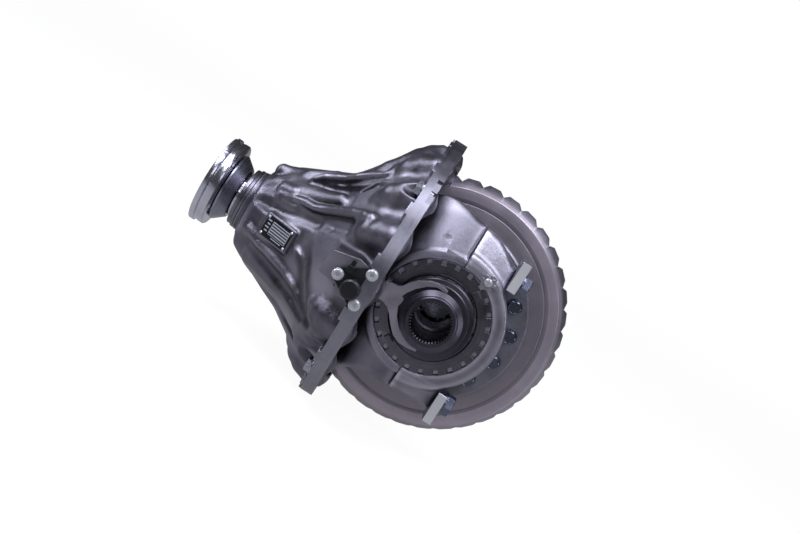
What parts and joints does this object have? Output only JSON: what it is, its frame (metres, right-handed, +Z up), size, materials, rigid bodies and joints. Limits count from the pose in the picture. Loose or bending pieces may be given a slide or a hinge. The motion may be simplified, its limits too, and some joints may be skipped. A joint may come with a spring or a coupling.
{
  "type": "differential gear assembly",
  "caption": "Rear axle differential carrier: hypoid pinion and ring gear, bevel differential, dog-clutch lock, bearing caps and a round bolt-on mounting flange.",
  "frame": {"origin": "centre of the carrier mounting flange's mating face, on the axis of its bolt circle", "axes": "+X forward along the drive pinion axis towards the input flange, +Y along the differential axis towards the lock side, +Z up"},
  "size_m": [0.6735, 0.511, 0.5],
  "materials": {
    "cast_housing": "satin, shot-blasted casting",
    "cast_caps": "satin casting, machined faces",
    "blued_bolts": "dark blue-black coated",
    "dark_steel": "dark turned steel",
    "lock_plates": "pressed steel",
    "zinc_screws": "bright zinc plate",
    "bearing_steel": "ground bearing steel",
    "seal_rubber": "matte",
    "retainer": "turned steel",
    "name_plate": "black enamel with bare metal field",
    "black_cover": "moulded plastic",
    "case_iron": "satin casting, turned faces",
    "ring_gear": "turned back face, darker teeth",
    "gear_steel": "ground and phosphated",
    "bronze": "satin",
    "machined_steel": "turned",
    "input_flange": "bright machined",
    "deflector": "pressed steel",
    "fork_steel": "satin forging",
    "spring_steel": "satin",
    "sleeve_steel": "turned steel"
  },
  "bodies": {
    "carrier": {"carrier_housing": "cast_housing", "bearing_cap_near": "cast_caps", "bearing_cap_far": "cast_caps", "cap_bolts": "blued_bolts", "adjuster_near": "dark_steel", "adjuster_far": "dark_steel", "adjuster_locks": "lock_plates", "adjuster_lock_screws": "zinc_screws", "diff_cup_near": "bearing_steel", "diff_cup_far": "bearing_steel", "pinion_cup_inner": "bearing_steel", "pinion_cup_outer": "bearing_steel", "pinion_seal": "seal_rubber", "seal_retainer": "retainer", "jack_screws": "blued_bolts", "name_plate": "name_plate", "plate_rivets": "zinc_screws", "lock_cover": "black_cover", "lock_cover_screws": "zinc_screws", "lock_switch": "black_cover"},
    "differential_case": {"case_half_near": "case_iron", "case_half_far": "case_iron", "case_bolts": "blued_bolts", "ring_gear": "ring_gear", "ring_gear_bolts": "blued_bolts", "spider_cross": "gear_steel", "side_washer_near": "bronze", "side_washer_far": "bronze", "planet_washers": "bronze", "diff_cone_near": "bearing_steel", "diff_cone_far": "bearing_steel", "diff_rollers_near": "bearing_steel", "diff_rollers_far": "bearing_steel"},
    "pinion_line": {"drive_pinion": "gear_steel", "pinion_cone_inner": "bearing_steel", "pinion_cone_outer": "bearing_steel", "pinion_rollers_inner": "bearing_steel", "pinion_rollers_outer": "bearing_steel", "pinion_spacer": "machined_steel", "input_flange": "input_flange", "dust_deflector": "deflector", "flange_washer": "machined_steel", "flange_nut": "machined_steel"},
    "near_side_gear": {"side_gear_near": "gear_steel"},
    "far_side_gear": {"side_gear_far": "gear_steel"},
    "front_planet": {"planet_gear_front": "gear_steel"},
    "rear_planet": {"planet_gear_rear": "gear_steel"},
    "top_planet": {"planet_gear_top": "gear_steel"},
    "bottom_planet": {"planet_gear_bottom": "gear_steel"},
    "shift_unit": {"shift_fork": "fork_steel", "shift_rod": "machined_steel", "lock_piston": "machined_steel", "piston_seal": "seal_rubber", "lock_spring": "spring_steel"},
    "dog_sleeve": {"lock_sleeve": "sleeve_steel"}
  },
  "joints": [
    {"name": "case_spin", "type": "hinge", "parent": "carrier", "child": "differential_case", "pos_m": [-0.098, 0, 0], "axis": [0, 1, 0], "continuous": true},
    {"name": "pinion_spin", "type": "hinge", "parent": "carrier", "child": "pinion_line", "pos_m": [0.2, -0.062, -0.036], "axis": [1, 0, 0], "continuous": true},
    {"name": "near_side_spin", "type": "hinge", "parent": "differential_case", "child": "near_side_gear", "pos_m": [-0.098, 0, 0], "axis": [0, 1, 0], "continuous": true},
    {"name": "far_side_spin", "type": "hinge", "parent": "differential_case", "child": "far_side_gear", "pos_m": [-0.098, 0, 0], "axis": [0, 1, 0], "continuous": true},
    {"name": "front_planet_spin", "type": "hinge", "parent": "differential_case", "child": "front_planet", "pos_m": [-0.098, 0, 0], "axis": [1, 0, 0], "continuous": true},
    {"name": "rear_planet_spin", "type": "hinge", "parent": "differential_case", "child": "rear_planet", "pos_m": [-0.098, 0, 0], "axis": [-1, 0, 0], "continuous": true},
    {"name": "top_planet_spin", "type": "hinge", "parent": "differential_case", "child": "top_planet", "pos_m": [-0.098, 0, 0], "axis": [0, 0, 1], "continuous": true},
    {"name": "bottom_planet_spin", "type": "hinge", "parent": "differential_case", "child": "bottom_planet", "pos_m": [-0.098, 0, 0], "axis": [0, 0, -1], "continuous": true},
    {"name": "lock_shift", "type": "slide", "parent": "carrier", "child": "shift_unit", "axis": [0, -1, 0], "range_m": [0, 0.01], "stiffness_N_per_m": 3000, "springref_m": -0.01},
    {"name": "sleeve_spin", "type": "hinge", "parent": "shift_unit", "child": "dog_sleeve", "pos_m": [-0.098, 0, 0], "axis": [0, 1, 0], "continuous": true}
  ],
  "couplings": [
    {"joint": "pinion_spin", "follows": "case_spin", "ratio": -2.7692},
    {"joint": "far_side_spin", "follows": "near_side_spin", "ratio": -1},
    {"joint": "front_planet_spin", "follows": "near_side_spin", "ratio": -2},
    {"joint": "rear_planet_spin", "follows": "near_side_spin", "ratio": -2},
    {"joint": "top_planet_spin", "follows": "near_side_spin", "ratio": -2},
    {"joint": "bottom_planet_spin", "follows": "near_side_spin", "ratio": -2}
  ]
}
